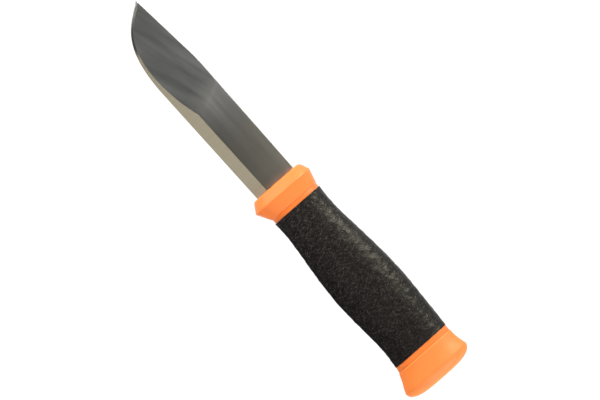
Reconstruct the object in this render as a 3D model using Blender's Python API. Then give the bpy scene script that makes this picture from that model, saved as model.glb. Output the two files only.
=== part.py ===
"""A fixed-blade knife lying on its side, in five pieces that come apart where the real mouldings meet.

The blade and its hidden tang are one steel blank. A core is moulded round the tang and fills the
tang's holes and notches. A collar and a butt cap are moulded on the core's two spigots, and a
rubber grip on its waist, so each is locked by the grooves, holes and window that it fills.

+X runs from the butt to the point, +Y towards the cutting edge and +Z up, out of the side that
lies uppermost. The origin is under the middle of the knife, on the surface that it lies on.
"""

import math

import bmesh
import bpy

MM = 0.001

# Lengths along the knife, from the point back to the butt.
BLADE_LENGTH = 106.9 * MM
COLLAR_BEVEL = 5.0 * MM
COLLAR_TAPER = 7.0 * MM
FRONT_RIM = 2.2 * MM
GRIP_LENGTH = 87.3 * MM
BACK_RIM = 2.7 * MM
CAP_FLARE = 9.6 * MM
CAP_DOME = 5.3 * MM
COLLAR_LENGTH = COLLAR_BEVEL + COLLAR_TAPER
CAP_LENGTH = CAP_FLARE + CAP_DOME
HANDLE_LENGTH = COLLAR_LENGTH + FRONT_RIM + GRIP_LENGTH + BACK_RIM + CAP_LENGTH
OVERALL_LENGTH = BLADE_LENGTH + HANDLE_LENGTH

# Where each length ends, on the X axis.
POINT_X = OVERALL_LENGTH / 2
COLLAR_X = POINT_X - BLADE_LENGTH
RIDGE_X = COLLAR_X - COLLAR_BEVEL
FRONT_RIM_X = RIDGE_X - COLLAR_TAPER
GRIP_FRONT_X = FRONT_RIM_X - FRONT_RIM
GRIP_BACK_X = GRIP_FRONT_X - GRIP_LENGTH
CAP_X = GRIP_BACK_X - BACK_RIM
RIM_X = CAP_X - CAP_FLARE

# The knife rests on the collar's ridge and the cap's rim, which are equally thick.
HANDLE_THICKNESS = 23.6 * MM
MIDDLE_Z = HANDLE_THICKNESS / 2

# Gaps between pieces that touch on the real knife.
GAP = 0.3 * MM
SEAM = GAP / 2

# The blade: stock thickness, bevel, and the outline of its spine, clip, edge and belly.
BLADE_THICKNESS = 2.5 * MM
BEVEL_WIDTH = 5.85 * MM
SPINE_Y = -11.92 * MM
HEEL_Y = 10.2 * MM
CLIP_X = 70.0 * MM
CLIP_BLEND = 8.0 * MM
CLIP_SLOPE = 0.0925
BELLY = ((73.0, 11.05), (103.0, 11.05), (106.0, 0.0), (113.0, -8.31))
BLADE_STATIONS = 12
BELLY_STATIONS = 26
SLOPE_STEP = 0.01

# Where the points of a section lie across its flat, in the blade and in the tang.
FLAT_SHARES = (0.0, 0.35, 0.7, 1.0)
TANG_SHARES = (0.0, 0.35, 0.7, 0.9, 1.0)

# The front half of the blade is ground thinner, more towards the edge than along the spine.
THINNING_X = 54.0 * MM
SPINE_THICKNESS_LEFT_AT_POINT = 0.36
EDGE_THINNING = 0.7
EDGE_THINNING_RUN = 0.2

# The tang: a little thinner than the blade, with its shoulders inside the collar's front wall.
# It tapers to a round end.
TANG_THICKNESS = 2.4 * MM
TANG_SHOULDER_X = COLLAR_X - 2.0 * MM
TANG_SHOULDER_BLEND = 0.8 * MM
TANG_LENGTH = 84.0 * MM
TANG_MIDDLE_Y = -1.8 * MM
TANG_FRONT_HEIGHT = 14.0 * MM
TANG_BACK_HEIGHT = 9.0 * MM
TANG_END_ANGLES = (90, 60, 35, 15)
TANG_END_LEAST = 0.35
TANG_STATIONS = 8
TANG_HOLE_RADIUS = 2.5 * MM
TANG_HOLES_X = (-20.0 * MM, -46.0 * MM)
TANG_NOTCH_RADIUS = 1.6 * MM
TANG_NOTCHES_X = (-66.0 * MM, -72.0 * MM)

# The handle's outer sections: spine side, edge side and half thickness, some with their place
# along X first. The core's two rims lie a little lower than the pieces beside them.
FRONT_FACE_SECTION = (-14.3 * MM, 12.2 * MM, 8.2 * MM)
FRONT_CORNER_SECTION = (-15.5 * MM, 13.1 * MM, 9.3 * MM)
FRONT_CORNER_DEPTH = 0.9 * MM
RIDGE_SECTION = (-17.25 * MM, 15.65 * MM, HANDLE_THICKNESS / 2)
COLLAR_BACK_SECTION = (-15.4 * MM, 11.6 * MM, 10.4 * MM)
FRONT_RIM_SECTION = (-15.1 * MM, 11.35 * MM, 10.1 * MM)
GRIP_SECTIONS = (
    (GRIP_FRONT_X, -15.55 * MM, 11.9 * MM, 10.5 * MM),
    (-16.0 * MM, -15.15 * MM, 11.6 * MM, 10.25 * MM),
    (-26.0 * MM, -15.65 * MM, 12.4 * MM, 10.5 * MM),
    (-40.0 * MM, -17.05 * MM, 13.85 * MM, 10.95 * MM),
    (-54.0 * MM, -18.05 * MM, 14.6 * MM, 11.2 * MM),
    (-66.0 * MM, -18.35 * MM, 14.2 * MM, 11.1 * MM),
    (-84.0 * MM, -17.6 * MM, 13.15 * MM, 10.7 * MM),
    (GRIP_BACK_X, -17.1 * MM, 13.85 * MM, 10.7 * MM),
)
BACK_RIM_SECTIONS = ((-16.75 * MM, 13.6 * MM, 10.4 * MM), (-16.7 * MM, 14.1 * MM, 10.4 * MM))
CAP_SECTIONS = (
    (CAP_X, -16.95 * MM, 14.35 * MM, 10.7 * MM),
    (-102.3 * MM, -17.15 * MM, 16.0 * MM, 10.85 * MM),
    (-105.2 * MM, -17.75 * MM, 17.45 * MM, 11.25 * MM),
    (RIM_X, -18.45 * MM, 18.45 * MM, HANDLE_THICKNESS / 2),
)
CAP_CHAMFER_RUN = 0.7 * MM
CAP_CHAMFER_DEPTH = 0.36 * MM
DOME_POWERS = (2.1, 3.8)
DOME_DEPTH_SHARES = (0.25, 0.45, 0.62, 0.76, 0.87, 0.94, 0.98, 1.0)
DOME_END_SCALE = 0.35
FRONT_CORNER_ANGLES = (0, 30, 60, 90)
GRIP_STATIONS = 24
FLARE_STATIONS = 6
SECTION_POWER = 2.5
RING_POINTS = 48

# The core inside the handle.
COLLAR_WALL = 2.8 * MM
SPIGOT_INSET = (3.0 * MM, 2.8 * MM)
RUBBER_WALL = (3.0 * MM, 2.6 * MM)
GROOVE_DEPTH = 1.0 * MM
GROOVE_WIDTH = 4.0 * MM
GROOVE_FLANK = 1.2 * MM
WAIST_GROOVES = 5
FIRST_GROOVE_PITCHES = 0.75
BACK_SPIGOT_LENGTH = 8.6 * MM
WINDOW_X = -88.0 * MM
WINDOW_RADIUS = 3.6 * MM
PIN_HOLES_X = (-33.0 * MM, -58.0 * MM)
PIN_HOLE_RADIUS = 1.6 * MM

# How far the cutters reach: up and down past the handle, and forward out of the collar.
CUT_REACH = 20.0 * MM
CLEARANCE_REACH = 11.7 * MM

HOLE_SIDES = 20
MERGE_DISTANCE = 1e-7
SHARP_ANGLE = math.radians(30)

STEEL = ("steel", (0.44, 0.42, 0.37, 1), 0.32, 1.0)
ORANGE = ("orange_plastic", (0.97, 0.23, 0.04, 1), 0.42, 0.0)
RUBBER = ("black_rubber", (0.022, 0.020, 0.019, 1), 0.68, 0.0)


def clear_scene():
    for old in list(bpy.data.objects):
        bpy.data.objects.remove(old, do_unlink=True)


def material(name, colour, roughness, metallic):
    made = bpy.data.materials.get(name) or bpy.data.materials.new(name)
    made.use_nodes = True
    shader = made.node_tree.nodes["Principled BSDF"]
    shader.inputs["Base Color"].default_value = colour
    shader.inputs["Roughness"].default_value = roughness
    shader.inputs["Metallic"].default_value = metallic
    return made


def add_object(name, mesh, finish=None):
    """Links the mesh. Without a finish it is a cutter, which isn't part of the knife."""
    made = bpy.data.objects.new(name, mesh)
    bpy.context.scene.collection.objects.link(made)
    if finish is None:
        made.hide_render = True
        made.display_type = "WIRE"
    else:
        mesh.materials.append(material(*finish))
        mesh.shade_smooth()
        mesh.set_sharp_from_angle(angle=SHARP_ANGLE)
    return made


def loft(name, rings, finish=None):
    """One closed body through rings of equally many points, each a list of (x, y, z)."""
    shape = bmesh.new()
    rows = [[shape.verts.new(point) for point in ring] for ring in rings]
    count = len(rings[0])
    for near, far in zip(rows, rows[1:]):
        for i in range(count):
            j = (i + 1) % count
            shape.faces.new((near[i], near[j], far[j], far[i]))
    shape.faces.new(rows[0])
    shape.faces.new(rows[-1])
    bmesh.ops.remove_doubles(shape, verts=shape.verts, dist=MERGE_DISTANCE)
    bmesh.ops.recalc_face_normals(shape, faces=shape.faces)
    mesh = bpy.data.meshes.new(name)
    shape.to_mesh(mesh)
    shape.free()
    return add_object(name, mesh, finish)


def post(name, x, y, radius, low_z, high_z):
    """An upright round cutter."""
    shape = bmesh.new()
    bmesh.ops.create_cone(
        shape,
        cap_ends=True,
        segments=HOLE_SIDES,
        radius1=radius,
        radius2=radius,
        depth=high_z - low_z,
    )
    mesh = bpy.data.meshes.new(name)
    shape.to_mesh(mesh)
    shape.free()
    made = add_object(name, mesh)
    made.location = (x, y, (low_z + high_z) / 2)
    return made


def through_post(name, x, y, radius):
    return post(name, x, y, radius, MIDDLE_Z - CUT_REACH, MIDDLE_Z + CUT_REACH)


def cut(target, cutter):
    step = target.modifiers.new(cutter.name, "BOOLEAN")
    step.operation = "DIFFERENCE"
    step.solver = "EXACT"
    step.object = cutter


# ---------------------------------------------------------------- the blade


def bezier(points, t):
    """The point at t of a cubic curve through the first and last of four points in mm."""
    weights = ((1 - t) ** 3, 3 * t * (1 - t) ** 2, 3 * t**2 * (1 - t), t**3)
    return tuple(sum(w * p[axis] for w, p in zip(weights, points)) * MM for axis in (0, 1))


def spine_y(x):
    """The spine runs straight, then drops along the clip after a short round blend."""
    run = x - CLIP_X
    if run <= 0:
        return SPINE_Y
    if run < CLIP_BLEND:
        return SPINE_Y + CLIP_SLOPE * run**2 / (2 * CLIP_BLEND)
    return SPINE_Y + CLIP_SLOPE * (run - CLIP_BLEND / 2)


def edge_line():
    """The cutting edge as (x, y, slope) from the heel, just clear of the collar, to the point."""
    heel_x = COLLAR_X + GAP
    belly_x, belly_y = (value * MM for value in BELLY[0])
    rise = (belly_y - HEEL_Y) / (belly_x - heel_x)
    line = []
    for i in range(BLADE_STATIONS):
        x = heel_x + (belly_x - heel_x) * i / BLADE_STATIONS
        line.append((x, HEEL_Y + rise * (x - heel_x), rise))
    for i in range(BELLY_STATIONS + 1):
        t = i / BELLY_STATIONS
        x, y = bezier(BELLY, t)
        ahead = bezier(BELLY, min(1, t + SLOPE_STEP))
        behind = bezier(BELLY, max(0, t - SLOPE_STEP))
        line.append((x, y, (ahead[1] - behind[1]) / (ahead[0] - behind[0])))
    return line


def flat_half_thickness(x):
    """(half thickness at the spine, share of it ground away at the edge) at x."""
    if x < COLLAR_X:
        return TANG_THICKNESS / 2, 0.0
    forward = max(0.0, x - THINNING_X) / (POINT_X - THINNING_X)
    spine = BLADE_THICKNESS / 2 * (1 - (1 - SPINE_THICKNESS_LEFT_AT_POINT) * forward)
    return spine, EDGE_THINNING * (1 - math.exp(-forward / EDGE_THINNING_RUN))


def blade_ring(x, low_y, high_y, slope, grow):
    """Half a section from the spine to the edge, mirrored. The bevel starts where it cuts the flat."""
    width = high_y - low_y
    spine_half, ground = flat_half_thickness(x)
    steepness = math.cos(math.atan(slope)) * BLADE_THICKNESS / 2 / BEVEL_WIDTH
    across = steepness - spine_half * ground / width
    bevel = width
    if across > 0:
        bevel = min(width, spine_half * (1 - ground) / across)
    half = []
    for share in FLAT_SHARES:
        y = low_y + share * (width - bevel)
        flat = spine_half * (1 - ground * (y - low_y) / width)
        half.append((y, min(flat, steepness * (high_y - y))))
    half.append((high_y, 0.0))
    return section_from(x, half, low_y, high_y, grow)


def tang_ring(x, height, grow):
    low_y = TANG_MIDDLE_Y - height / 2
    high_y = TANG_MIDDLE_Y + height / 2
    half = [(low_y + share * height, TANG_THICKNESS / 2) for share in TANG_SHARES]
    return section_from(x, half, low_y, high_y, grow)


def section_from(x, half, low_y, high_y, grow):
    """Both sides of a flat section at x, widened and thickened by grow."""
    wide = []
    for y, z in half:
        outward = grow if y >= high_y else -grow if y <= low_y else 0
        wide.append((y + outward, z + grow))
    top = [(x, y, MIDDLE_Z + z) for y, z in wide]
    bottom = [(x, y, MIDDLE_Z - z) for y, z in reversed(wide)]
    return top + bottom


def blank_rings(grow, reach_x):
    """The steel blank from the tang's end forward to reach_x."""
    rings = []
    round_end = TANG_BACK_HEIGHT / 2
    back_x = TANG_SHOULDER_X - TANG_LENGTH
    for angle in TANG_END_ANGLES:
        inward = 1 - math.sin(math.radians(angle))
        height = TANG_BACK_HEIGHT * max(TANG_END_LEAST, math.cos(math.radians(angle)))
        rings.append(tang_ring(back_x + round_end * inward - grow, height, grow))
    taper = TANG_LENGTH - round_end - TANG_SHOULDER_BLEND
    for i in range(TANG_STATIONS + 1):
        share = i / TANG_STATIONS
        x = back_x + round_end + taper * share
        height = TANG_BACK_HEIGHT + (TANG_FRONT_HEIGHT - TANG_BACK_HEIGHT) * share
        rings.append(tang_ring(x - grow, height, grow))
    heel_x, heel_y, heel_slope = edge_line()[0]
    shoulder_y = heel_y - heel_slope * (heel_x - TANG_SHOULDER_X)
    rings.append(blade_ring(TANG_SHOULDER_X - grow, SPINE_Y, shoulder_y, heel_slope, grow))
    for x, y, slope in edge_line()[:-1]:
        if x < reach_x:
            rings.append(blade_ring(x, spine_y(x), y, slope, grow))
    if reach_x >= POINT_X:
        x, y, _ = edge_line()[-1]
        rings.append([(x, y, MIDDLE_Z)] * len(rings[0]))
    return rings


def pierce_tang(blank, shrink):
    """Cuts the tang's holes and edge notches, each made smaller by shrink."""
    for x in TANG_HOLES_X:
        radius = TANG_HOLE_RADIUS - shrink
        cut(blank, through_post(f"{blank.name}_hole_{-x / MM:.0f}", x, TANG_MIDDLE_Y, radius))
    for x in TANG_NOTCHES_X:
        share = (x - (TANG_SHOULDER_X - TANG_LENGTH)) / TANG_LENGTH
        half_height = (TANG_BACK_HEIGHT + (TANG_FRONT_HEIGHT - TANG_BACK_HEIGHT) * share) / 2
        for side, word in ((-1, "spine"), (1, "edge")):
            y = TANG_MIDDLE_Y + side * (half_height + shrink)
            radius = TANG_NOTCH_RADIUS
            name = f"{blank.name}_{word}_notch_{-x / MM:.0f}"
            cut(blank, through_post(name, x, y, radius))


def make_blade():
    blade = loft("blade", blank_rings(0.0, POINT_X), STEEL)
    pierce_tang(blade, 0.0)
    return blade


def make_blade_clearance():
    """The blank with a gap round it. The core's pegs and keys stay where the tang is pierced."""
    clearance = loft("blade_clearance", blank_rings(GAP, COLLAR_X + CLEARANCE_REACH))
    pierce_tang(clearance, GAP)
    return clearance


# ---------------------------------------------------------------- the handle


def interpolate(sections, x):
    """A smooth (spine side, edge side, half thickness) at x, through sections in falling X."""
    last = len(sections) - 1
    i = next((k for k in range(last) if x >= sections[k + 1][0]), last - 1)
    near, far = sections[i], sections[i + 1]
    run = far[0] - near[0]
    t = (x - near[0]) / run

    def tangent(k, value):
        before, after = sections[max(0, k - 1)], sections[min(last, k + 1)]
        return (after[value] - before[value]) / (after[0] - before[0]) * run

    return tuple(
        near[v] * (2 * t**3 - 3 * t**2 + 1)
        + tangent(i, v) * (t**3 - 2 * t**2 + t)
        + far[v] * (3 * t**2 - 2 * t**3)
        + tangent(i + 1, v) * (t**3 - t**2)
        for v in (1, 2, 3)
    )


def inset(section, side, face):
    """The section drawn in by side at its two ends and by face above and below."""
    return section[0] + side, section[1] - side, section[2] - face


def ring(x, section):
    """A rounded, nearly elliptical section of the handle."""
    low_y, high_y, half_z = section
    middle, half_y = (low_y + high_y) / 2, (high_y - low_y) / 2
    points = []
    for i in range(RING_POINTS):
        angle = 2 * math.pi * i / RING_POINTS
        c, s = math.cos(angle), math.sin(angle)
        y = middle + half_y * math.copysign(abs(c) ** (2 / SECTION_POWER), c)
        z = MIDDLE_Z + half_z * math.copysign(abs(s) ** (2 / SECTION_POWER), s)
        points.append((x, y, z))
    return points


def grooved(front_x, back_x, groove_xs, section_at, side, face, grow):
    """Rings of a stem between two ends, with a groove round it at each of groove_xs."""
    edges = [(front_x, 0.0)]
    for middle in groove_xs:
        half = GROOVE_WIDTH / 2
        edges += [
            (middle + half, 0.0),
            (middle + half - GROOVE_FLANK, GROOVE_DEPTH),
            (middle - half + GROOVE_FLANK, GROOVE_DEPTH),
            (middle - half, 0.0),
        ]
    edges.append((back_x, 0.0))
    rings = []
    for x, depth in edges:
        section = inset(section_at(x), side + depth - grow, face + depth - grow)
        rings.append(ring(x, section))
    return rings


def spigot_mouth(section):
    """The mouth of a hollow that goes over a spigot standing in the given section."""
    side, face = SPIGOT_INSET
    return inset(section, side - GAP, face - GAP)


def front_spigot(grow):
    front_x = COLLAR_X - COLLAR_WALL + grow - GAP
    middle = (front_x + FRONT_RIM_X) / 2
    return grooved(
        front_x, FRONT_RIM_X, [middle], lambda x: FRONT_RIM_SECTION, *SPIGOT_INSET, grow
    )


def back_spigot(grow):
    back_x = CAP_X - BACK_SPIGOT_LENGTH - grow
    middle = (CAP_X + back_x) / 2
    return grooved(
        CAP_X, back_x, [middle], lambda x: BACK_RIM_SECTIONS[1], *SPIGOT_INSET, grow
    )


def waist(grow):
    pitch = GRIP_LENGTH / (WAIST_GROOVES + 1)
    middles = [GRIP_FRONT_X - pitch * (i + FIRST_GROOVE_PITCHES) for i in range(WAIST_GROOVES)]
    return grooved(
        GRIP_FRONT_X + grow,
        GRIP_BACK_X - grow,
        middles,
        lambda x: interpolate(GRIP_SECTIONS, x),
        *RUBBER_WALL,
        grow,
    )


def make_core(clearance):
    rings = front_spigot(0.0)[:-1]
    rings.append(ring(FRONT_RIM_X - SEAM, inset(FRONT_RIM_SECTION, *SPIGOT_INSET)))
    rings.append(ring(FRONT_RIM_X - SEAM, FRONT_RIM_SECTION))
    rings.append(ring(GRIP_FRONT_X, FRONT_RIM_SECTION))
    rings += waist(0.0)
    rings.append(ring(GRIP_BACK_X, BACK_RIM_SECTIONS[0]))
    rings.append(ring(CAP_X + SEAM, BACK_RIM_SECTIONS[1]))
    rings.append(ring(CAP_X + SEAM, inset(BACK_RIM_SECTIONS[1], *SPIGOT_INSET)))
    rings += back_spigot(0.0)[1:]
    core = loft("handle_core", rings, ORANGE)
    cut(core, clearance)
    cut(core, through_post("core_window", WINDOW_X, TANG_MIDDLE_Y, WINDOW_RADIUS))
    for x in PIN_HOLES_X:
        name = f"core_pin_hole_{-x / MM:.0f}"
        cut(core, through_post(name, x, TANG_MIDDLE_Y, PIN_HOLE_RADIUS))
    return core


def make_collar(clearance):
    corner = []
    for angle in FRONT_CORNER_ANGLES:
        out, back = math.sin(math.radians(angle)), 1 - math.cos(math.radians(angle))
        section = tuple(
            a + (b - a) * out for a, b in zip(FRONT_FACE_SECTION, FRONT_CORNER_SECTION)
        )
        corner.append(ring(COLLAR_X - FRONT_CORNER_DEPTH * back, section))
    rings = corner + [
        ring(RIDGE_X, RIDGE_SECTION),
        ring(FRONT_RIM_X + SEAM, COLLAR_BACK_SECTION),
    ]
    collar = loft("front_collar", rings, ORANGE)
    hollow = front_spigot(GAP)
    hollow.append(ring(FRONT_RIM_X - GAP, spigot_mouth(FRONT_RIM_SECTION)))
    cut(collar, loft("collar_hollow", hollow))
    cut(collar, clearance)
    return collar


def make_grip():
    front_x, back_x = GRIP_FRONT_X - GAP, GRIP_BACK_X + GAP
    rings = []
    for i in range(GRIP_STATIONS + 1):
        x = front_x + (back_x - front_x) * i / GRIP_STATIONS
        rings.append(ring(x, interpolate(GRIP_SECTIONS, x)))
    grip = loft("rubber_grip", rings, RUBBER)
    hollow = loft("grip_hollow", waist(GAP))
    cut(hollow, through_post("window_plug", WINDOW_X, TANG_MIDDLE_Y, WINDOW_RADIUS - GAP))
    plug_start = TANG_THICKNESS / 2 + 2 * GAP
    for x in PIN_HOLES_X:
        for side, word in ((1, "upper"), (-1, "lower")):
            ends = sorted((MIDDLE_Z + side * plug_start, MIDDLE_Z + side * CUT_REACH))
            name = f"{word}_pin_plug_{-x / MM:.0f}"
            cut(hollow, post(name, x, TANG_MIDDLE_Y, PIN_HOLE_RADIUS - GAP, *ends))
    cut(grip, hollow)
    return grip


def make_cap():
    lip = inset(CAP_SECTIONS[0][1:], CAP_CHAMFER_DEPTH, CAP_CHAMFER_DEPTH)
    rings = [ring(CAP_X - SEAM, lip)]
    flare_x = CAP_X - CAP_CHAMFER_RUN
    for i in range(FLARE_STATIONS + 1):
        x = flare_x + (RIM_X - flare_x) * i / FLARE_STATIONS
        rings.append(ring(x, interpolate(CAP_SECTIONS, x)))
    low_y, high_y, half_z = CAP_SECTIONS[-1][1:]
    inner, outer = DOME_POWERS
    for share in DOME_DEPTH_SHARES:
        scale = max(DOME_END_SCALE, (1 - share**inner) ** (1 / outer))
        section = (low_y * scale, high_y * scale, half_z * scale)
        rings.append(ring(RIM_X - CAP_DOME * share, section))
    cap = loft("butt_cap", rings, ORANGE)
    hollow = [ring(CAP_X + GAP, spigot_mouth(BACK_RIM_SECTIONS[1]))] + back_spigot(GAP)
    cut(cap, loft("cap_hollow", hollow))
    return cap


def main():
    clear_scene()
    make_blade()
    clearance = make_blade_clearance()
    make_core(clearance)
    make_collar(clearance)
    make_grip()
    make_cap()


main()
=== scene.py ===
"""The looks of a fixed-blade knife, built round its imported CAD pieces.

Each CAD piece is replaced by a finer mesh of the same outline: the blade with its grinds and small
bevels, the orange mouldings with rounded edges, and the rubber grip with its crinkle as real
relief. The frame is the CAD's: +X from the butt to the point, +Y towards the cutting edge, +Z up.
Driving dimensions come first. Other values stand just above the functions that use them.
"""

import math

import bmesh
import bpy
import numpy as np
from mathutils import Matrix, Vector, noise


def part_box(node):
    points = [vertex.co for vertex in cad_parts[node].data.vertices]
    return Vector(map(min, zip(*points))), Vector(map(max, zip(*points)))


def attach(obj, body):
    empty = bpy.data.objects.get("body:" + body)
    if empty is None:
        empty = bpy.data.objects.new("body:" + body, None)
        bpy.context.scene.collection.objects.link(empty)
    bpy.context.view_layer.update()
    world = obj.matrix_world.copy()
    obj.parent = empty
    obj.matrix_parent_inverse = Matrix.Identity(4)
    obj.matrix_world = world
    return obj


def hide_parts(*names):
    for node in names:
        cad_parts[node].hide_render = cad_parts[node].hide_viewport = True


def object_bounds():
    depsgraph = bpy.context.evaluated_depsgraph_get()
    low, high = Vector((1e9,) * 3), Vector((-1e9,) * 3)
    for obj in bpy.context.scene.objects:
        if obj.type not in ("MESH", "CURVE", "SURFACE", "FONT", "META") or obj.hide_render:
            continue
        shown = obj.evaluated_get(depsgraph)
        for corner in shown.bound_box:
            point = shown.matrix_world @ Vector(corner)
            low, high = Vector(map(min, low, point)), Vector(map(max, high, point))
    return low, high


MM = 0.001

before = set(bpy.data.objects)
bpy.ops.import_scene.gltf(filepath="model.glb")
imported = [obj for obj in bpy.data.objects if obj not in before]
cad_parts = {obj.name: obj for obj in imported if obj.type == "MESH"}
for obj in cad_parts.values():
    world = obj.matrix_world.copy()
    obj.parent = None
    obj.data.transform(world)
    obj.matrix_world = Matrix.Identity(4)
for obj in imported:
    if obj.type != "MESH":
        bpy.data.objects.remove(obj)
CAD_LOW, CAD_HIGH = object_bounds()

# Where the pieces end, read from the frame.
MIDDLE_Z = (CAD_LOW.z + CAD_HIGH.z) / 2
POINT_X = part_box("blade")[1].x
COLLAR_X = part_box("front_collar")[1].x
TANG_BACK_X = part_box("blade")[0].x
HANDLE_HALF = (CAD_HIGH.z - CAD_LOW.z) / 2

# The handle's driving sections, as in the CAD: place along X, spine side, edge side and half
# thickness.
RIDGE_X = COLLAR_X - 5.0 * MM
FRONT_RIM_X = RIDGE_X - 7.0 * MM
GRIP_FRONT_X = FRONT_RIM_X - 2.2 * MM
GRIP_BACK_X = GRIP_FRONT_X - 87.3 * MM
CAP_X = GRIP_BACK_X - 2.7 * MM
RIM_X = CAP_X - 9.6 * MM
CAP_DOME = 5.3 * MM
FRONT_FACE = (COLLAR_X, -14.3 * MM, 12.2 * MM, 8.2 * MM)
FRONT_CORNER = (COLLAR_X - 0.9 * MM, -15.5 * MM, 13.1 * MM, 9.3 * MM)
RIDGE = (RIDGE_X, -17.25 * MM, 15.65 * MM, HANDLE_HALF)
COLLAR_BACK = (FRONT_RIM_X, -15.4 * MM, 11.6 * MM, 10.4 * MM)
FRONT_RIM = (FRONT_RIM_X, -15.1 * MM, 11.35 * MM, 10.1 * MM)
GRIP = (
    (GRIP_FRONT_X, -15.55 * MM, 11.9 * MM, 10.5 * MM),
    (-16.0 * MM, -15.15 * MM, 11.6 * MM, 10.25 * MM),
    (-26.0 * MM, -15.65 * MM, 12.4 * MM, 10.5 * MM),
    (-40.0 * MM, -17.05 * MM, 13.85 * MM, 10.95 * MM),
    (-54.0 * MM, -18.05 * MM, 14.6 * MM, 11.2 * MM),
    (-66.0 * MM, -18.35 * MM, 14.2 * MM, 11.1 * MM),
    (-84.0 * MM, -17.6 * MM, 13.15 * MM, 10.7 * MM),
    (GRIP_BACK_X, -17.1 * MM, 13.85 * MM, 10.7 * MM),
)
BACK_RIM = (
    (GRIP_BACK_X, -16.75 * MM, 13.6 * MM, 10.4 * MM),
    (CAP_X, -16.7 * MM, 14.1 * MM, 10.4 * MM),
)
CAP = (
    (CAP_X, -16.95 * MM, 14.35 * MM, 10.7 * MM),
    (-102.3 * MM, -17.15 * MM, 16.0 * MM, 10.85 * MM),
    (-105.2 * MM, -17.75 * MM, 17.45 * MM, 11.25 * MM),
    (RIM_X, -18.45 * MM, 18.45 * MM, HANDLE_HALF),
)
DOME_POWERS = (2.1, 3.8)
SECTION_POWER = 2.5
SLOT_DEPTH = 2.8 * MM
SEAM = 0.012 * MM

# The blade's driving outline and grinds, as in the CAD.
BLADE_THICKNESS = 2.5 * MM
BEVEL_WIDTH = 5.85 * MM
SPINE_Y = -11.92 * MM
HEEL_Y = 10.2 * MM
CLIP_X = 70.0 * MM
CLIP_BLEND = 8.0 * MM
CLIP_SLOPE = 0.0925
BELLY = ((73.0, 11.05), (103.0, 11.05), (106.0, 0.0), (113.0, -8.31))
THINNING_X = 54.0 * MM
SPINE_LEFT_AT_POINT = 0.36
EDGE_THINNING = 0.7
EDGE_THINNING_RUN = 0.2
SPINE_CHAMFER = 0.14 * MM
MICRO_BEVEL = 0.3 * MM
EDGE_HALF = 0.012 * MM

# The hidden tang's sections: place along X, spine side, edge side.
TANG_THICKNESS = 2.4 * MM
TANG = (
    (TANG_BACK_X, -4.3 * MM, 0.7 * MM),
    (TANG_BACK_X + 2 * MM, -6.3 * MM, 2.7 * MM),
    (COLLAR_X - SLOT_DEPTH, -8.8 * MM, 5.2 * MM),
)


# ---------------------------------------------------------------- shapes


def interpolate(sections, xs):
    """Smooth rows of (x, spine side, edge side, half thickness) through sections in falling X."""
    table = np.array(sections)
    order = np.arange(len(table))
    behind = table[np.maximum(order - 1, 0)]
    ahead = table[np.minimum(order + 1, len(table) - 1)]
    slopes = (ahead[:, 1:] - behind[:, 1:]) / (ahead[:, :1] - behind[:, :1])
    k = np.clip(np.searchsorted(-table[:, 0], -xs, side="right") - 1, 0, len(table) - 2)
    near, far = table[k], table[k + 1]
    run = far[:, :1] - near[:, :1]
    t = (xs[:, None] - near[:, :1]) / run
    values = near[:, 1:] * (2 * t**3 - 3 * t**2 + 1) + far[:, 1:] * (3 * t**2 - 2 * t**3)
    values += slopes[k] * run * (t**3 - 2 * t**2 + t) + slopes[k + 1] * run * (t**3 - t**2)
    return np.column_stack([xs, values])


def ring(section, count):
    """One rounded section of the handle, its points evenly spaced round it."""
    x, low_y, high_y, half_z = section
    quarter_degrees = 4 * 360
    angles = np.linspace(0, 2 * math.pi, quarter_degrees + 1)
    c, s = np.cos(angles), np.sin(angles)
    y = (high_y - low_y) / 2 * np.sign(c) * np.abs(c) ** (2 / SECTION_POWER)
    z = half_z * np.sign(s) * np.abs(s) ** (2 / SECTION_POWER)
    along = np.concatenate([[0], np.cumsum(np.hypot(np.diff(y), np.diff(z)))])
    even = np.linspace(0, along[-1], count, endpoint=False)
    y = np.interp(even, along, y) + (low_y + high_y) / 2
    return np.column_stack([np.full(count, x), y, np.interp(even, along, z) + MIDDLE_Z])


def inset(section, side, face, x=None):
    """The section drawn in by side at its two ends and by face above and below."""
    return (section[0] if x is None else x, section[1] + side, section[2] - side, section[3] - face)


def rounded(stations, radii, steps=5):
    """The stations with each inner corner replaced by a short curve that starts radius away."""
    points = np.array(stations)
    rows = [points[0]]
    for before, here, after, radius in zip(points, points[1:], points[2:], radii):
        back, ahead = before - here, after - here
        start = here + back * min(0.5, radius / np.linalg.norm(back))
        end = here + ahead * min(0.5, radius / np.linalg.norm(ahead))
        for t in np.linspace(0, 1, steps):
            rows.append(start * (1 - t) ** 2 + here * 2 * t * (1 - t) + end * t**2)
    rows.append(points[-1])
    return rows


def divided(rows, step):
    """The rows with more between them, no further apart along X than step."""
    made = [rows[0]]
    for near, far in zip(rows, rows[1:]):
        count = max(1, math.ceil(abs(far[0] - near[0]) / step))
        made += [near + (far - near) * (i + 1) / count for i in range(count)]
    return made


def skin(name, rings, closed=False):
    """A body through rings of equally many points. If closed, the last ring joins the first."""
    rings = np.array(rings)
    rows, count = rings.shape[:2]
    index = np.arange(rows * count).reshape(rows, count)
    near = index if closed else index[:-1]
    far = np.roll(index, -1, 0) if closed else index[1:]
    quads = np.stack([near, np.roll(near, -1, 1), np.roll(far, -1, 1), far], -1)
    faces = quads.reshape(-1, 4).tolist()
    if not closed:
        faces += [index[0].tolist(), index[-1].tolist()]
    mesh = bpy.data.meshes.new(name)
    mesh.from_pydata(rings.reshape(-1, 3).tolist(), [], faces)
    shape = bmesh.new()
    shape.from_mesh(mesh)
    bmesh.ops.recalc_face_normals(shape, faces=shape.faces)
    shape.to_mesh(mesh)
    shape.free()
    made = bpy.data.objects.new(name, mesh)
    bpy.context.scene.collection.objects.link(made)
    return made


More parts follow.
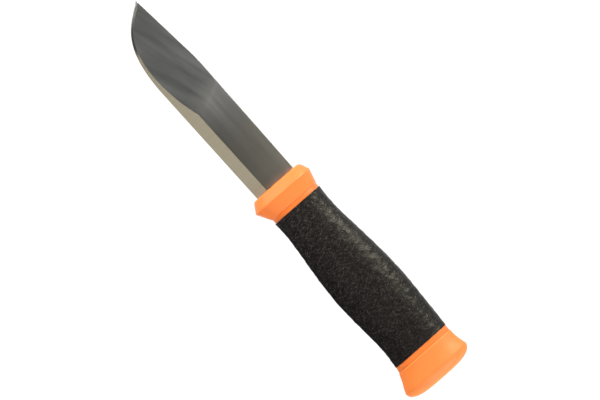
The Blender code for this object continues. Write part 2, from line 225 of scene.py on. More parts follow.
def finish_piece(piece, materials, nodes, sharp=30):
    """Smooth shading up to the sharp angle, the materials, and the piece's place in the frame."""
    piece.data.shade_smooth()
    piece.data.set_sharp_from_angle(angle=math.radians(sharp))
    for material in materials:
        piece.data.materials.append(material)
    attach(piece, "root")
    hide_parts(*nodes)


# ---------------------------------------------------------------- the blade

# How far inside the collar the blade's sections start, and how many there are beside the straight
# part of the edge and round the belly.
HEEL_INSIDE = 2 * MM
STRAIGHT_STEPS, BELLY_STEPS = 90, 90

# Where a section's points lie, as shares of the flat and of the bevel.
FLAT_SHARES = (0.0, 0.15, 0.3, 0.45, 0.6, 0.75, 0.9, 1.0)
BEVEL_SHARES = (0.33, 0.67, 1.0)

# Near the point the grinds get smaller: the bevel is at most a share of the width, the second bevel
# of the first, and the spine's chamfer of the width and of the half thickness.
WIDEST_BEVEL = 0.6
WIDEST_MICRO = 0.3
WIDEST_CHAMFER = (0.1, 0.4)

# The very point keeps these shares of the last section's thickness and width.
TIP_THICKNESS, TIP_WIDTH = 0.15, 0.1


def bezier(points, t):
    weights = ((1 - t) ** 3, 3 * t * (1 - t) ** 2, 3 * t**2 * (1 - t), t**3)
    return tuple(sum(w * p[axis] for w, p in zip(weights, points)) * MM for axis in (0, 1))


def spine_y(x):
    run = x - CLIP_X
    if run <= 0:
        return SPINE_Y
    if run < CLIP_BLEND:
        return SPINE_Y + CLIP_SLOPE * run**2 / (2 * CLIP_BLEND)
    return SPINE_Y + CLIP_SLOPE * (run - CLIP_BLEND / 2)


def edge_line():
    """The cutting edge as (x, y, slope) from inside the collar to the point."""
    heel_x = COLLAR_X - HEEL_INSIDE
    belly_x, belly_y = (value * MM for value in BELLY[0])
    rise = (belly_y - HEEL_Y) / (belly_x - COLLAR_X)
    line = []
    for i in range(STRAIGHT_STEPS):
        x = heel_x + (belly_x - heel_x) * i / STRAIGHT_STEPS
        line.append((x, HEEL_Y + rise * (x - COLLAR_X), rise))
    little = 0.01
    for i in range(BELLY_STEPS + 1):
        t = i / BELLY_STEPS
        x, y = bezier(BELLY, t)
        ahead, behind = bezier(BELLY, min(1, t + little)), bezier(BELLY, max(0, t - little))
        line.append((x, y, (ahead[1] - behind[1]) / (ahead[0] - behind[0])))
    return line


def grind_at(x):
    """(half thickness at the spine, share of it ground away at the edge) at x."""
    forward = max(0.0, x - THINNING_X) / (POINT_X - THINNING_X)
    spine = BLADE_THICKNESS / 2 * (1 - (1 - SPINE_LEFT_AT_POINT) * forward)
    return spine, EDGE_THINNING * (1 - math.exp(-forward / EDGE_THINNING_RUN))


def blade_ring(x, low_y, high_y, slope):
    """A section from the spine to the edge above, and back below."""
    width = high_y - low_y
    spine_half, ground = grind_at(x)
    steepness = math.cos(math.atan(slope)) * BLADE_THICKNESS / 2 / BEVEL_WIDTH
    across = steepness - spine_half * ground / width
    bevel = width * WIDEST_BEVEL
    if across > 0:
        bevel = min(bevel, spine_half * (1 - ground) / across)
    micro = min(MICRO_BEVEL, bevel * WIDEST_MICRO)
    chamfer = min(SPINE_CHAMFER, width * WIDEST_CHAMFER[0], spine_half * WIDEST_CHAMFER[1])

    def flat(y):
        return spine_half * (1 - ground * (y - low_y) / width)

    half = [(low_y, flat(low_y) - chamfer)]
    flat_low = low_y + chamfer
    for share in FLAT_SHARES:
        y = flat_low + share * (high_y - bevel - flat_low)
        half.append((y, flat(y)))
    top_y, top_z = half[-1]
    end_y, end_z = high_y - micro, steepness * micro + 2 * EDGE_HALF
    for share in BEVEL_SHARES:
        half.append((top_y + share * (end_y - top_y), top_z + share * (end_z - top_z)))
    half.append((high_y, EDGE_HALF))
    above = [(x, y, MIDDLE_Z + z) for y, z in half]
    below = [(x, y, MIDDLE_Z - z) for y, z in reversed(half)]
    return above + below


def tang_ring(x, low_y, high_y):
    """A plain section of the hidden tang, with as many points as a blade section."""
    chamfer_and_edge = 2
    ys = np.linspace(low_y, high_y, len(FLAT_SHARES) + len(BEVEL_SHARES) + chamfer_and_edge)
    above = [(x, y, MIDDLE_Z + TANG_THICKNESS / 2) for y in ys]
    below = [(x, y, MIDDLE_Z - TANG_THICKNESS / 2) for y in reversed(ys)]
    return above + below


def make_blade(flat, bevel):
    rings = [tang_ring(*section) for section in TANG]
    for x, y, slope in edge_line()[:-1]:
        rings.append(blade_ring(x, spine_y(x), y, slope))
    tip_x, tip_y = bezier(BELLY, 1)
    last = np.array(rings[-1])
    tip = np.column_stack([np.full(len(last), tip_x), np.full(len(last), tip_y), last[:, 2]])
    tip[:, 2] = MIDDLE_Z + (tip[:, 2] - MIDDLE_Z) * TIP_THICKNESS
    tip[:, 1] += (last[:, 1] - last[:, 1].mean()) * TIP_WIDTH
    rings.append(tip)
    blade = skin("blade_skin", rings)
    finish_piece(blade, [flat, bevel], ["blade"], sharp=5)
    bevel_start = 1 + len(FLAT_SHARES)
    points = len(rings[0])
    for face in blade.data.polygons[: (len(rings) - 1) * points]:
        across = face.index % points
        if bevel_start <= across + 1 and across < points - bevel_start:
            face.material_index = 1


# ---------------------------------------------------------------- the handle

MOULDING_POINTS = 220

# How squarely the slot's ring turns its corners, across and through, and the least of the blade's
# thickness that it keeps at the edge.
SLOT_SQUARENESS = (1.25, 4)
SLOT_LEAST = 0.02
SLOT_LIP = 0.25 * MM

# What is hidden: the flat bands inside a moulding's end faces, and how far the collar's bore and
# the core's stem stand inside the section, at its sides and at its faces. The stem stops short of
# the blade's slot by a gap and reaches into the cap.
FACE_BAND = 2.0 * MM
MOUTH_BAND = 0.8 * MM
COLLAR_BORE = (2.6 * MM, 2.4 * MM)
CORE_STEM = (2.9 * MM, 2.7 * MM)
STEM_GAP = 0.3 * MM
STEM_IN_CAP = 8.6 * MM

# The rounding of the corners, from the front face backwards, and the most between the collar's
# sections.
COLLAR_RADII = (0.35 * MM, 0.6 * MM, 0.25 * MM, 0.2 * MM)
RIM_RADIUS = 0.12 * MM
CAP_RADII = (0.05 * MM, 0.2 * MM)
COLLAR_STEP = 0.8 * MM

# The chamfer at the cap's mouth, as its run along X and its depth, and the sections of the flare
# and of the dome.
CAP_CHAMFER = (0.7 * MM, 0.36 * MM)
FLARE_STEPS = 24
DOME_ANGLES = np.radians(np.linspace(3, 86, 26))


def slot_ring(x, clear):
    """The blade's section, a little larger, with as many points as a moulding's section."""
    low_y, high_y = SPINE_Y - clear, HEEL_Y + clear
    angles = 2 * math.pi * np.arange(MOULDING_POINTS) / MOULDING_POINTS
    across, through = SLOT_SQUARENESS
    y = (low_y + high_y) / 2 + (high_y - low_y) / 2 * np.clip(across * np.cos(angles), -1, 1)
    bevel = np.clip((high_y - y) / BEVEL_WIDTH, SLOT_LEAST, 1)
    side = np.clip(through * np.sin(angles), -1, 1)
    z = side * (BLADE_THICKNESS / 2 * bevel + clear)
    return np.column_stack([np.full(MOULDING_POINTS, x), y, z + MIDDLE_Z])


def make_collar(plastic):
    back_x = FRONT_RIM_X + SEAM
    profile = rounded(
        [
            inset(FRONT_FACE, FACE_BAND, FACE_BAND),
            FRONT_FACE,
            FRONT_CORNER,
            RIDGE,
            (back_x, *COLLAR_BACK[1:]),
            inset(COLLAR_BACK, MOUTH_BAND, MOUTH_BAND, back_x),
        ],
        COLLAR_RADII,
    )
    inner = [inset(COLLAR_BACK, *COLLAR_BORE, x) for x in (back_x, COLLAR_X - SLOT_DEPTH)]
    rings = [ring(row, MOULDING_POINTS) for row in divided(profile, COLLAR_STEP) + inner]
    slot = [
        slot_ring(COLLAR_X - SLOT_DEPTH, SEAM),
        slot_ring(COLLAR_X - SLOT_LIP, SEAM),
        slot_ring(COLLAR_X - SLOT_LIP / 3, SEAM + SLOT_LIP / 3),
        slot_ring(COLLAR_X, SEAM + SLOT_LIP),
    ]
    collar = skin("collar_skin", rings + slot, closed=True)
    finish_piece(collar, [plastic], ["front_collar"])


def make_core(plastic):
    """The two narrow rims beside the rubber, on the stem that joins them inside the handle."""
    front, back = FRONT_RIM_X - SEAM, CAP_X + SEAM
    front_end, back_end = GRIP_FRONT_X + SEAM, GRIP_BACK_X - SEAM
    widest = max(GRIP, key=lambda section: section[3])
    stations = [
        inset(FRONT_RIM, *CORE_STEM, COLLAR_X - SLOT_DEPTH - STEM_GAP),
        inset(FRONT_RIM, *CORE_STEM, front),
        (front, *FRONT_RIM[1:]),
        (front_end, *FRONT_RIM[1:]),
        inset(FRONT_RIM, *CORE_STEM, front_end),
        inset(widest, *CORE_STEM),
        inset(BACK_RIM[0], *CORE_STEM, back_end),
        (back_end, *BACK_RIM[0][1:]),
        (back, *BACK_RIM[1][1:]),
        inset(BACK_RIM[1], *CORE_STEM, back),
        inset(BACK_RIM[1], *CORE_STEM, CAP_X - STEM_IN_CAP),
    ]
    rows = rounded(stations, [RIM_RADIUS] * (len(stations) - 2))
    core = skin("core_skin", [ring(row, MOULDING_POINTS) for row in rows])
    finish_piece(core, [plastic], ["handle_core"])


def make_cap(plastic):
    low_y, high_y, half_z = CAP[-1][1:]
    inner, outer = DOME_POWERS
    dome = []
    for angle in DOME_ANGLES:
        scale = math.cos(angle) ** (2 / outer)
        x = RIM_X - CAP_DOME * math.sin(angle) ** (2 / inner)
        dome.append(np.array((x, low_y * scale, high_y * scale, half_z * scale)))
    run, depth = CAP_CHAMFER
    mouth = inset(CAP[0], MOUTH_BAND, MOUTH_BAND, CAP_X - SEAM)
    lip = inset(CAP[0], depth, depth, CAP_X - SEAM)
    flare = interpolate(CAP, np.linspace(CAP_X - run, RIM_X, FLARE_STEPS))
    rows = rounded([mouth, lip, flare[0], flare[1]], CAP_RADII)
    rows += list(flare[2:]) + dome
    cap = skin("cap_skin", [ring(row, MOULDING_POINTS) for row in rows])
    finish_piece(cap, [plastic], ["butt_cap"])


# ---------------------------------------------------------------- the rubber

# The grip's mesh: its spacing along X, its points round, and its hidden wall and rounded ends.
GRIP_STEP = 0.30 * MM
GRIP_POINTS = 300
GRIP_WALL = 2.2 * MM
GRIP_ROUNDING = 0.4 * MM
ROUNDING_ANGLES = np.radians(np.array([90, 60, 30]))

# The crinkle: wrinkles that run mostly round the grip, finer ones that cross them, and soft dents.
WRINKLE_SIZE = (0.85 * MM, 2.5 * MM, 2.5 * MM)
CROSS_PITCH = 0.68 * MM
BREAK_LENGTH = 2.75 * MM
CRINKLE_HEIGHT = 0.09 * MM
CRINKLE_FADE = 1.2 * MM
DENT_HEIGHT = 0.18 * MM
DENT_SIZE = 2.6 * MM

# The shares of their heights by which the crinkle and the dents are moved in, so that almost all of
# the relief is inside the CAD's surface.
CRINKLE_LEVEL, DENT_LEVEL = 0.8, 0.5

# How often the wrinkles bend per metre and how far, and where the other two noises are read. The
# bends come from a random seed, which is the clock's unless it is set.
BENDS, BEND = 330, 0.8
BENDS_SEED = 1
CROSS_PLACE = Vector((7.3, 1.9, 4.1))
BREAK_PLACE = Vector((2.7, 8.8, 3.1))

# How narrow the wrinkles and the crossing ones are, how much of each is kept, the least of a
# wrinkle that is left, the crossing ones' height, and how suddenly they all break off.
NARROW, CROSS_NARROW = 6.0, 4.5
KEPT, CROSS_KEPT = 0.75, 0.4
LEAST_KEPT = 0.1
CROSS_HEIGHT = 0.8
BREAKING = 2.8


def crinkle(point):
    """Relief from 0 to 1 at a point of the rubber: wrinkles that bend, break off and cross."""
    drift = noise.noise_vector(point * BENDS)
    stretched = Vector([along / size for along, size in zip(point, WRINKLE_SIZE)])
    first = noise.noise(stretched + drift * BEND)
    second = noise.noise(point / CROSS_PITCH - drift + CROSS_PLACE)
    breaks = noise.noise(point / BREAK_LENGTH + BREAK_PLACE) * BREAKING
    ridge = max(0.0, 1 - abs(first) * NARROW) * min(1.0, max(LEAST_KEPT, KEPT + breaks))
    cross = max(0.0, 1 - abs(second) * CROSS_NARROW) * min(1.0, max(0.0, CROSS_KEPT - breaks))
    return min(1.0, ridge + CROSS_HEIGHT * cross)


def rounded_end(section, towards):
    """The sections that round off one end, outermost first. towards is 1 in front and -1 behind."""
    rows = []
    for angle in ROUNDING_ANGLES:
        drawn_in = GRIP_ROUNDING * (1 - math.cos(angle))
        x = section[0] + towards * GRIP_ROUNDING * math.sin(angle)
        rows.append(inset(section, drawn_in, drawn_in, x))
    return rows


def make_grip(rubber):
    noise.seed_set(BENDS_SEED)
    coarser = 1
    front_x, back_x = GRIP_FRONT_X - SEAM, GRIP_BACK_X + SEAM
    count = math.ceil((front_x - back_x) / (GRIP_STEP * coarser))
    outside = interpolate(GRIP, np.linspace(front_x - GRIP_ROUNDING, back_x + GRIP_ROUNDING, count))
    front = rounded_end(outside[0], 1)
    back = rounded_end(outside[-1], -1)[::-1]
    around = GRIP_POINTS // coarser
    inner = [inset(row, GRIP_WALL, GRIP_WALL) for row in (back[-1], outside[count // 2], front[0])]
    rings = [ring(row, around) for row in [*front, *outside, *back, *inner]]
    grip = skin("grip_skin", rings, closed=True)
    relief = grip.data.attributes.new("relief", "FLOAT", "POINT")
    normals = [vertex.normal.copy() for vertex in grip.data.vertices]
    first, last = len(front) * around, (len(front) + count) * around
    for vertex, normal in zip(grip.data.vertices, normals):
        if not first <= vertex.index < last:
            continue
        from_end = min(front_x - vertex.co.x, vertex.co.x - back_x)
        fade = min(1.0, from_end / CRINKLE_FADE)
        height = crinkle(vertex.co)
        relief.data[vertex.index].value = height
        dent = DENT_HEIGHT * (noise.noise(vertex.co / DENT_SIZE) - DENT_LEVEL)
        vertex.co += normal * ((height - CRINKLE_LEVEL) * CRINKLE_HEIGHT + dent) * fade
    finish_piece(grip, [rubber], ["rubber_grip"], sharp=80)


# ---------------------------------------------------------------- materials

# The part of a noise's range, out of 0 to 1, over which a material changes.
NOISE_RANGE = (0.3, 0.7)


def feed(tree, socket, value):
    """Links the socket where value is another socket, and sets it otherwise."""
    if isinstance(value, bpy.types.NodeSocket):
        tree.links.new(value, socket)
    else:
        socket.default_value = value


def new_material(name, uniform):
    """A material, its node tree and its shader, with the uniform values set all over."""
    made = bpy.data.materials.new(name)
    made.use_nodes = True
    shader = made.node_tree.nodes["Principled BSDF"]
    for socket, value in uniform.items():
        shader.inputs[socket].default_value = value
    return made, made.node_tree, shader


def maths(tree, operation, first, second=0.0, clamp=False):
    made = tree.nodes.new("ShaderNodeMath")
    made.operation = operation
    made.use_clamp = clamp
    feed(tree, made.inputs[0], first)
    feed(tree, made.inputs[1], second)
    return made.outputs[0]


def place(tree, scale=(1, 1, 1), turn=0.0):
    """The place on the object along axes turned about Z, each times its own scale."""
    coords = tree.nodes.new("ShaderNodeTexCoord")
    mapping = tree.nodes.new("ShaderNodeMapping")
    mapping.vector_type = "TEXTURE"
    mapping.inputs["Scale"].default_value = [1 / each for each in scale]
    mapping.inputs["Rotation"].default_value = (0, 0, turn)
    tree.links.new(coords.outputs["Object"], mapping.inputs["Vector"])
    return mapping.outputs["Vector"]


def axes(tree):
    """The place on the object as three values, along X, Y and Z."""
    split = tree.nodes.new("ShaderNodeSeparateXYZ")
    tree.links.new(place(tree), split.inputs[0])
    return split.outputs["X"], split.outputs["Y"], split.outputs["Z"]


def off(tree, value, middle):
    """How far the value is from the middle, on either side."""
    return maths(tree, "ABSOLUTE", maths(tree, "SUBTRACT", value, middle))


def noise_node(tree, vector, scale=1.0, detail=4.0, roughness=0.55, output="Fac"):
    made = tree.nodes.new("ShaderNodeTexNoise")
    made.inputs["Scale"].default_value = scale
    made.inputs["Detail"].default_value = detail
    made.inputs["Roughness"].default_value = roughness
    tree.links.new(vector, made.inputs["Vector"])
    return made.outputs[output]


def spread(tree, value, low, high, new_low, new_high):
    """The value's range from low to high, moved to new_low to new_high and held inside it."""
    made = tree.nodes.new("ShaderNodeMapRange")
    made.clamp = True
    names = ("From Min", "From Max", "To Min", "To Max")
    for name, number in zip(names, (low, high, new_low, new_high)):
        made.inputs[name].default_value = number
    feed(tree, made.inputs["Value"], value)
    return made.outputs["Result"]


def noise_share(tree, noise_value):
    """A noise as a share, from 0 to 1 over the part of its range that is used."""
    return spread(tree, noise_value, *NOISE_RANGE, 0, 1)


def between(tree, share, first, second):
    """The value that is share of the way from the first value to the second."""
    made = tree.nodes.new("ShaderNodeMix")
    for socket, value in zip((0, 2, 3), (share, first, second)):
        feed(tree, made.inputs[socket], value)
    return made.outputs[0]


def mixed(tree, share, first, second, blend="MIX"):
    """The colour that is share of the way from the first colour to the second."""
    made = tree.nodes.new("ShaderNodeMix")
    made.data_type = "RGBA"
    made.blend_type = blend
    feed(tree, made.inputs[0], share)
    for socket, colour in zip((6, 7), (first, second)):
        linked = isinstance(colour, bpy.types.NodeSocket)
        feed(tree, made.inputs[socket], colour if linked else (*colour, 1))
    return made.outputs[2]


def bumps(tree, shader, height, distance):
    made = tree.nodes.new("ShaderNodeBump")
    made.inputs["Distance"].default_value = distance
    tree.links.new(height, made.inputs["Height"])
    tree.links.new(made.outputs["Normal"], shader.inputs["Normal"])


# The orange mouldings: the two colours each varies between, its gloss and its least roughness, and
# how much above that the roughness goes. The three differ a little in lightness, the cap's the
# lightest: painted light and shade, for how brightly each piece is lit.
ORANGE = {
    "orange_collar": ((0.97, 0.222, 0.032), (0.99, 0.236, 0.038), 0.34, 0.38),
    "orange_core": ((0.97, 0.216, 0.033), (0.99, 0.230, 0.040), 0.20, 0.38),
    "orange_cap": ((0.97, 0.235, 0.036), (0.99, 0.249, 0.042), 0.30, 0.56),
}
ROUGHER = 0.12

# How often the colour, the roughness and the grain change per metre.
ORANGE_COLOUR, ORANGE_ROUGH, ORANGE_GRAIN = 90, 260, 2600

# The relief: its depth, the grain's share of it, and the parting line's height and its half width,
# where it is full and where it ends.
ORANGE_RELIEF = 0.03 * MM
GRAIN_HEIGHT, PARTING_HEIGHT = 0.6, 1.2
PARTING_HALF = (0.04 * MM, 0.12 * MM)


def orange_plastic(name):
    """Satin moulded plastic: slow colour variation, a fine eroded grain, a faint parting line."""
    colour, light, gloss, least_rough = ORANGE[name]
    made, tree, shader = new_material(name, {"Specular IOR Level": gloss})
    where = place(tree)
    slow = noise_node(tree, where, ORANGE_COLOUR, detail=3)
    feed(tree, shader.inputs["Base Color"], mixed(tree, noise_share(tree, slow), colour, light))
    rough = noise_node(tree, where, ORANGE_ROUGH)
    rough = spread(tree, rough, *NOISE_RANGE, least_rough, least_rough + ROUGHER)
    feed(tree, shader.inputs["Roughness"], rough)
    grain = maths(tree, "MULTIPLY", noise_node(tree, where, ORANGE_GRAIN, detail=3), GRAIN_HEIGHT)
    line = spread(tree, off(tree, axes(tree)[2], MIDDLE_Z), *PARTING_HALF, PARTING_HEIGHT, 0)
    bumps(tree, shader, maths(tree, "ADD", grain, line), ORANGE_RELIEF)
    return made


# The rubber's own colour and its lighter colour on the strokes and ridges, partly wear and
# partly painted glints on them, its gloss, and its roughness from the one to the other.
RUBBER_DARK, RUBBER_WORN_AND_GLINT = (0.0036, 0.0020, 0.0021), (0.069, 0.062, 0.058)
RUBBER_GLOSS = 0.12
RUBBER_ROUGHNESS = (0.46, 0.36)

# How much the lighter colour shows at the butt's end and at the blade's end, painted light that
# falls off towards the butt, and how much of it the crinkle's ridges take, partly wear and
# partly painted glints: a noise's changes per metre, the part of its range that is used, and what
# it gives.
LIGHT_FALLOFF = (0.58, 1.08)
RIDGE_CHANGES = 260
RIDGE_WEAR_AND_GLINT = (0.35, 0.65, 0.1, 0.4)

# The raised strokes: width, length, turn from the way round the grip, how far from its middle each
# is full and where it ends, in cells, and its height as a share of the relief.
STROKES = (
    (0.66 * MM, 2.8 * MM, math.radians(26), 0.06, 0.36, 1.0),
    (0.66 * MM, 2.8 * MM, math.radians(-30), 0.05, 0.32, 1.0),
    (0.528 * MM, 1.26 * MM, 0.0, 0.15, 0.5, 0.35),
)
STROKE_RELIEF = 0.06 * MM
STROKE_BENDS, STROKE_BEND = 300, 1.8


def strokes(tree, width, length, turn, full, end):
    """Short bent strokes, one in each cell: 1 inside full, falling to 0 at the end."""
    bend = noise_node(tree, place(tree), STROKE_BENDS, detail=1, roughness=0.5, output="Color")
    bent = tree.nodes.new("ShaderNodeVectorMath")
    bent.operation = "MULTIPLY_ADD"
    bent.inputs[1].default_value = (STROKE_BEND, STROKE_BEND, STROKE_BEND)
    tree.links.new(bend, bent.inputs[0])
    tree.links.new(place(tree, (1 / width, 1 / length, 1 / length), turn), bent.inputs[2])
    cells = tree.nodes.new("ShaderNodeTexVoronoi")
    cells.inputs["Scale"].default_value = 1.0
    tree.links.new(bent.outputs[0], cells.inputs["Vector"])
    return spread(tree, cells.outputs["Distance"], full, end, 1, 0)


def black_rubber():
    """Black rubber. Its raised strokes and crinkle are lighter, partly worn and partly painted
    glints,
    more so near the blade: painted light that falls off towards the butt.
    """
    made, tree, shader = new_material("black_rubber_skin", {"Specular IOR Level": RUBBER_GLOSS})
    relief = tree.nodes.new("ShaderNodeAttribute")
    relief.attribute_name = "relief"
    slow = noise_node(tree, place(tree), RIDGE_CHANGES, detail=3)
    ridges = maths(tree, "MULTIPLY", relief.outputs["Fac"], spread(tree, slow, *RIDGE_WEAR_AND_GLINT))
    marks = 0.0
    for *shape, height in STROKES:
        raised = maths(tree, "MULTIPLY", strokes(tree, *shape), height)
        marks = maths(tree, "MAXIMUM", marks, raised)
    # Painted light: the lighter colour is strongest near the blade and falls off towards the butt.
    falloff = spread(tree, axes(tree)[0], GRIP_BACK_X, GRIP_FRONT_X, *LIGHT_FALLOFF)
    share = maths(tree, "MULTIPLY", maths(tree, "MAXIMUM", ridges, marks), falloff, clamp=True)
    # The strokes and ridges are lighter: partly wear and partly painted glints.
    feed(tree, shader.inputs["Base Color"], mixed(tree, share, RUBBER_DARK, RUBBER_WORN_AND_GLINT))
    feed(tree, shader.inputs["Roughness"], spread(tree, share, 0, 1, *RUBBER_ROUGHNESS))
    bumps(tree, shader, marks, STROKE_RELIEF)
    return made


# The two colours that each steel surface varies between, and the bevel's painted shade round the
# belly and at the point.
PLAIN_STEEL = ((0.447, 0.429, 0.384), (0.491, 0.473, 0.427))
GROUND_STEEL = ((0.321, 0.330, 0.334), (0.417, 0.428, 0.434))
BEVEL_STEEL = ((0.457, 0.411, 0.313), (0.515, 0.462, 0.353))
BELLY_SHADE, POINT_SHADE = (0.10, 0.10, 0.098), (0.26, 0.26, 0.255)

# The streaks' changes per metre along X, Y and Z, and the ground ones' slant.
PLAIN_STREAKS = (14, 420, 420)
GROUND_STREAKS = (30, 300, 300)
BEVEL_STREAKS = (2200, 120, 120)
GROUND_SLANT = math.radians(17)
FLAT_ROUGHNESS, BEVEL_ROUGHNESS = (0.27, 0.31), (0.3, 0.4)
STEEL_RELIEF = 0.004 * MM

# The flats' tones by place. Each row is two places along X or Y and the values there. The rows
# across Y and the one beside the collar are painted light and shade: lighter towards the spine and
# beside the collar, darker towards the bevel.
GROUND_FRONT = (THINNING_X, THINNING_X + 10 * MM, 0, 1)
COOLER_FRONT = (30 * MM, 48 * MM, 0, 1)
COOLER = (1.0, 1.017, 1.14)
BESIDE_COLLAR = (8 * MM, 17 * MM, 1.12, 1)
PLAIN_ACROSS = (-11 * MM, 4 * MM, 1.23, 0.75)
GROUND_ACROSS = (-10 * MM, -4 * MM, 1.19, 0.88)

# A stretch of painted shade behind the grind: its middle, and its tone by the distance from there.
DARK_X = 31 * MM
DARK = (7 * MM, 24 * MM, 0.78, 0.93)

# The painted highlight where the grind begins, a pale band with a bright line: its place where
# Y is 0, its slant, and by the distance from there its glow and its bright line, which fades out
# across the blade.
BAND_X = 54.2 * MM
BAND_SLANT = 0.45
HIGHLIGHT_GLOW = (0, 11 * MM, 0.22, 0)
HIGHLIGHT_LINE = (0, 2 * MM, 0.16, 0)
LINE_ACROSS = (-9 * MM, 2 * MM, 1, 0)

# Where along X the bevel's painted shade begins round the belly, and where it turns lighter again
# at the point.
BEVEL_BELLY = (91 * MM, 96 * MM, 0, 1)
BEVEL_POINT = (103 * MM, 108 * MM, 0, 1)


def flat_tone(tree, along, across, front):
    """How light the flats are by place: painted light and shade, and a painted highlight where the
    grind begins.
    """
    # The painted highlight where the grind begins.
    slanted = maths(tree, "ADD", along, maths(tree, "MULTIPLY", across, BAND_SLANT))
    off_band = off(tree, slanted, BAND_X)
    line = spread(tree, off_band, *HIGHLIGHT_LINE)
    line = maths(tree, "MULTIPLY", line, spread(tree, across, *LINE_ACROSS))
    band = maths(tree, "ADD", spread(tree, off_band, *HIGHLIGHT_GLOW), line)
    # Painted shade behind the grind, lifted beside the collar.
    dark = spread(tree, off(tree, along, DARK_X), *DARK)
    dark = maths(tree, "MULTIPLY", dark, spread(tree, along, *BESIDE_COLLAR))
    # Painted light and shade across the flats: lighter towards the spine, darker towards the bevel.
    plain = maths(tree, "MULTIPLY", dark, spread(tree, across, *PLAIN_ACROSS))
    ground = spread(tree, across, *GROUND_ACROSS)
    return maths(tree, "ADD", between(tree, front, plain, ground), band)


def steel_flat():
    """Cold-rolled flats with lengthwise streaks, and the front half ground darker at a slant."""
    made, tree, shader = new_material("steel_flat", {"Metallic": 1.0})
    streaks = noise_node(tree, place(tree, PLAIN_STREAKS), detail=5)
    slanted = noise_node(tree, place(tree, GROUND_STREAKS, GROUND_SLANT))
    along, across, _ = axes(tree)
    front = spread(tree, along, *GROUND_FRONT)
    cooler = mixed(tree, spread(tree, along, *COOLER_FRONT), (1, 1, 1), COOLER)
    plain = mixed(tree, noise_share(tree, streaks), *PLAIN_STEEL)
    plain = mixed(tree, 1.0, plain, cooler, "MULTIPLY")
    ground = mixed(tree, noise_share(tree, slanted), *GROUND_STEEL)
    grey = tree.nodes.new("ShaderNodeCombineColor")
    tone = flat_tone(tree, along, across, front)
    for channel in grey.inputs:
        tree.links.new(tone, channel)
    colour = mixed(tree, 1.0, mixed(tree, front, plain, ground), grey.outputs[0], "MULTIPLY")
    feed(tree, shader.inputs["Base Color"], colour)
    lines = between(tree, front, streaks, slanted)
    feed(tree, shader.inputs["Roughness"], spread(tree, lines, *NOISE_RANGE, *FLAT_ROUGHNESS))
    bumps(tree, shader, lines, STEEL_RELIEF)
    return made


def steel_bevel():
    """The bevel, ground bright across the edge, with painted shade round the belly."""
    made, tree, shader = new_material("steel_bevel", {"Metallic": 1.0})
    lines = noise_node(tree, place(tree, BEVEL_STREAKS))
    along, _, _ = axes(tree)
    ground = mixed(tree, noise_share(tree, lines), *BEVEL_STEEL)
    # Painted shade round the belly and at the point.
    dark = mixed(tree, spread(tree, along, *BEVEL_POINT), BELLY_SHADE, POINT_SHADE)
    colour = mixed(tree, spread(tree, along, *BEVEL_BELLY), ground, dark)
    feed(tree, shader.inputs["Base Color"], colour)
    feed(tree, shader.inputs["Roughness"], spread(tree, lines, *NOISE_RANGE, *BEVEL_ROUGHNESS))
    bumps(tree, shader, lines, STEEL_RELIEF)
    return made


# ---------------------------------------------------------------- the studio

# The camera looks straight down, turned so that the point is at the upper left.
VIEW_WIDTH = 279.2 * MM
VIEW_CENTRE = Vector((-7.2 * MM, -4.35 * MM, MIDDLE_Z))
VIEW_TURN = math.radians(-131.35)
LENS, SENSOR = 500.0, 36.0

WARM, YELLOW = (1.0, 0.985, 0.95), (1.0, 0.97, 0.76)

# The sky's brightness at two heights, which are shares of the way from the horizon to overhead.
SKY = ((0.02, 0.4), (0.4, 0.14))

# The floor's and the card's surfaces.
MATT = 0.9
FLOOR_ALBEDO, CARD_ALBEDO = 0.06, 0.02
FLOOR_GLOW = 0.985

# The floor's half width, and how far behind the rubber the card starts, its reach and its height.
FLOOR_HALF = 6.0
CARD_BEHIND, CARD_REACH, CARD_Z = 4 * MM, 0.4, 0.05 * MM


def make_camera():
    data = bpy.data.cameras.new("camera")
    data.lens, data.sensor_width = LENS, SENSOR
    camera = bpy.data.objects.new("camera", data)
    camera.location = VIEW_CENTRE + Vector((0, 0, VIEW_WIDTH * LENS / SENSOR))
    camera.rotation_euler = (0, 0, VIEW_TURN)
    bpy.context.scene.collection.objects.link(camera)
    bpy.context.scene.camera = camera


def softbox(name, towards, tilt, distance, size, radiance, colour=WARM, diffuse=True, glossy=True):
    """A rectangular light at a tilt from straight up, over towards the given direction in plan.

    A light may be left out of the soft light or out of the reflections.
    """
    data = bpy.data.lights.new(name, "AREA")
    data.shape = "RECTANGLE"
    data.size, data.size_y = size
    data.color = colour
    data.energy = radiance * math.pi * size[0] * size[1]
    light = bpy.data.objects.new(name, data)
    flat = Vector((*towards, 0)).normalized()
    up = Vector((0, 0, 1))
    direction = flat * math.sin(math.radians(tilt)) + up * math.cos(math.radians(tilt))
    light.location = Vector((0, 0, MIDDLE_Z)) + direction * distance
    light.rotation_mode = "QUATERNION"
    light.rotation_quaternion = direction.to_track_quat("Z", "Y")
    light.visible_camera = False
    light.visible_diffuse, light.visible_glossy = diffuse, glossy
    bpy.context.scene.collection.objects.link(light)


def make_lights():
    """Soft lights all round. Seen end on, the flats mirror the gap between the two back glints."""
    softbox("front_light", (1, 0.15), tilt=60, distance=1.3, size=(1.4, 1.1), radiance=4.2)
    soft = {"distance": 1.3, "size": (0.9, 0.7), "radiance": 7.2, "glossy": False}
    softbox("back_light", (-1, 0.1), tilt=76, **soft)
    glint = {"distance": 1.3, "size": (0.6, 1.3), "radiance": 6.0, "diffuse": False}
    softbox("back_glint_edge", (-1, 0.36), tilt=64, **glint)
    softbox("back_glint_spine", (-1, -0.36), tilt=64, **glint)
    soft = {"distance": 1.1, "size": (0.4, 0.34), "radiance": 21.0, "glossy": False}
    softbox("spine_light", (0.5, -1), tilt=55, **soft)
    glint = {"distance": 1.1, "size": (0.3, 0.34), "radiance": 114.0, "diffuse": False}
    softbox("spine_glint", (0.4, -1), tilt=61, colour=YELLOW, **glint)
    softbox("bevel_light", (0, 1), tilt=25, distance=1.2, size=(0.28, 0.3), radiance=1.6)


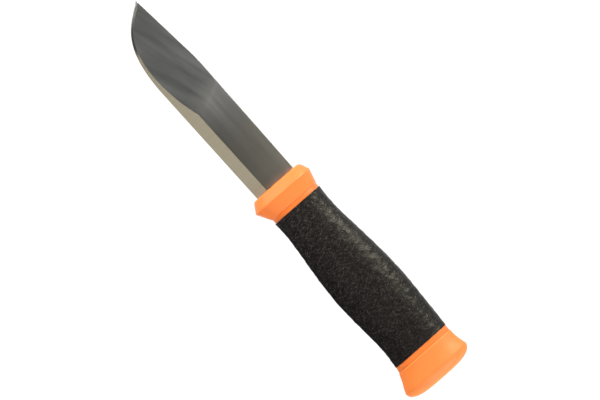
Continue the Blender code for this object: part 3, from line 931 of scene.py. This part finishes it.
def make_world():
    """Pale round the horizon and dark overhead, so that the flats reflect a dark sky."""
    world = bpy.data.worlds.new("studio")
    bpy.context.scene.world = world
    world.use_nodes = True
    tree = world.node_tree
    coords = tree.nodes.new("ShaderNodeTexCoord")
    split = tree.nodes.new("ShaderNodeSeparateXYZ")
    tree.links.new(coords.outputs["Generated"], split.inputs[0])
    ramp = tree.nodes.new("ShaderNodeValToRGB")
    tree.links.new(split.outputs["Z"], ramp.inputs["Fac"])
    for stop, (height, brightness) in zip(ramp.color_ramp.elements, SKY):
        stop.position = height
        stop.color = (brightness, brightness, brightness, 1)
    tree.links.new(ramp.outputs["Color"], tree.nodes["Background"].inputs["Color"])


def sheet(name, low, high, z, albedo):
    """A matt level rectangle of the studio between two corners, and its shader."""
    mesh = bpy.data.meshes.new(name)
    (x0, y0), (x1, y1) = low, high
    mesh.from_pydata([(x0, y0, z), (x1, y0, z), (x1, y1, z), (x0, y1, z)], [], [(0, 1, 2, 3)])
    uniform = {"Base Color": (albedo, albedo, albedo, 1), "Roughness": MATT}
    material, _, shader = new_material(name, uniform)
    mesh.materials.append(material)
    made = bpy.data.objects.new(name, mesh)
    bpy.context.scene.collection.objects.link(made)
    return made, shader


def make_floor():
    """The white floor, and a dark card on it that only the rubber's edge side reflects."""
    half = FLOOR_HALF
    _, shader = sheet("floor", (-half, -half), (half, half), 0.0, FLOOR_ALBEDO)
    shader.inputs["Emission Color"].default_value = (1, 1, 1, 1)
    shader.inputs["Emission Strength"].default_value = FLOOR_GLOW
    corners = (GRIP_BACK_X - CARD_BEHIND, 0.0), (GRIP_FRONT_X, CARD_REACH)
    card, _ = sheet("card", *corners, CARD_Z, CARD_ALBEDO)
    card.visible_camera = card.visible_diffuse = card.visible_shadow = False


def make_studio():
    make_camera()
    make_world()
    make_floor()
    make_lights()
    bpy.context.scene.view_settings.view_transform = "Standard"


def main():
    make_studio()
    make_blade(steel_flat(), steel_bevel())
    make_collar(orange_plastic("orange_collar"))
    make_core(orange_plastic("orange_core"))
    make_cap(orange_plastic("orange_cap"))
    make_grip(black_rubber())


main()
